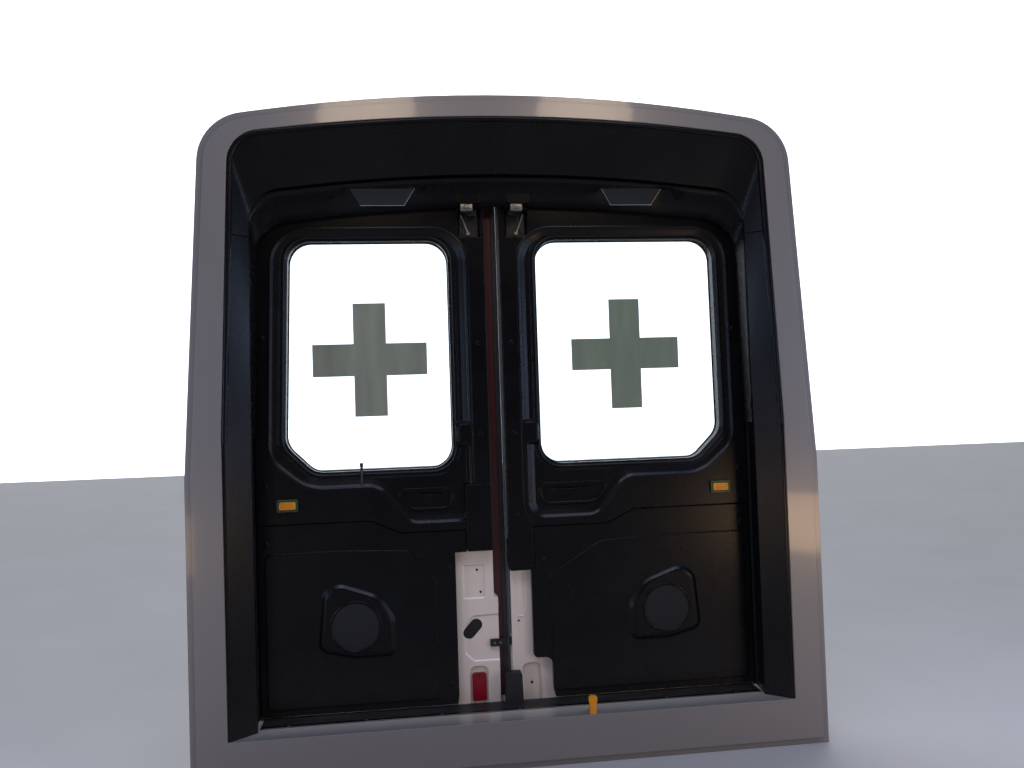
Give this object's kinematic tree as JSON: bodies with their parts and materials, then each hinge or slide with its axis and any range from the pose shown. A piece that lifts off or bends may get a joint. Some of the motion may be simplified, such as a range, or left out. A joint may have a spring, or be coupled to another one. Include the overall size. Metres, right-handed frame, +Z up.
{
  "type": "ambulance rear doors in a body frame",
  "caption": "Pair of hinged rear doors of a van-based ambulance, hung in the ring of bodywork around them, with linings, windows, latches and lamps.",
  "frame": {"origin": "on the front face of the body ring, in the middle of the vehicle, at the height of the load floor", "axes": "+X to the right as seen from inside, +Y towards the rear and the outside, +Z up"},
  "size_m": [1.93, 0.254, 2.04],
  "materials": {
    "white_paint": "gloss body paint, bare pressings in the same paint",
    "black_trim": "fine moulded grain",
    "bright_strip": "satin",
    "seal_rubber": "matt",
    "black_rubber": "matt",
    "yellow_plastic": "satin",
    "green_plastic": "satin",
    "smoked_lens": "polished, with a bright rim",
    "red_lens": "polished",
    "hinge_steel": "gloss body paint",
    "window_glass": "clear, lightly tinted",
    "frosted_film": "translucent film",
    "black_grille": "fine moulded grain",
    "plated_steel": "zinc plated",
    "black_steel": "satin",
    "red_strip": "satin",
    "red_reflector": "prismatic",
    "black_plastic": "fine moulded grain"
  },
  "bodies": {
    "frame": {"floor_stop": "yellow_plastic", "header_lining": "black_trim", "high_stop_lamp": "red_lens", "hinge_body_leaves_left": "hinge_steel", "hinge_body_leaves_right": "hinge_steel", "loading_lamp_left": "smoked_lens", "loading_lamp_right": "smoked_lens", "opening_seal": "seal_rubber", "pillar_lining_left": "black_trim", "pillar_lining_right": "black_trim", "rear_frame": "white_paint", "sill_block": "black_rubber", "sill_scuff": "black_trim", "sill_strip": "bright_strip", "tail_lamp_left": "red_lens", "tail_lamp_right": "red_lens", "upper_striker_left": "black_trim", "upper_striker_right": "black_trim"},
    "left_door": {"check_release_holder_left": "green_plastic", "check_release_lever_left": "yellow_plastic", "door_panel_left": "white_paint", "edge_moulding_left": "black_trim", "edge_strip_left": "red_strip", "hinge_door_leaves_left": "hinge_steel", "latch_cover_left": "black_trim", "lock_pin_left": "black_steel", "lower_latch_left": "black_steel", "lower_trim_left": "black_trim", "meeting_seal_left": "seal_rubber", "plate_lamp_left": "black_plastic", "plate_tray_left": "black_plastic", "pull_cup_left": "black_trim", "reflector_left": "red_reflector", "speaker_grille_left": "black_grille", "upper_latch_left": "plated_steel", "upper_trim_left": "black_trim", "window_figure_left": "frosted_film", "window_glass_left": "window_glass"},
    "right_door": {"check_release_holder_right": "green_plastic", "check_release_lever_right": "yellow_plastic", "door_panel_right": "white_paint", "edge_moulding_right": "black_trim", "hinge_door_leaves_right": "hinge_steel", "lower_latch_right": "black_steel", "lower_trim_right": "black_trim", "outer_handle_right": "black_plastic", "pull_cup_right": "black_trim", "speaker_grille_right": "black_grille", "upper_latch_right": "plated_steel", "upper_trim_right": "black_trim", "window_figure_right": "frosted_film", "window_glass_right": "window_glass"}
  },
  "joints": [
    {"name": "left_door_hinge", "type": "hinge", "parent": "frame", "child": "left_door", "pos_m": [-0.852, 0.232, 0.75], "axis": [0, 0, 1], "range_deg": [0, 180]},
    {"name": "right_door_hinge", "type": "hinge", "parent": "frame", "child": "right_door", "pos_m": [0.852, 0.232, 0.75], "axis": [0, 0, -1], "range_deg": [0, 180]}
  ]
}
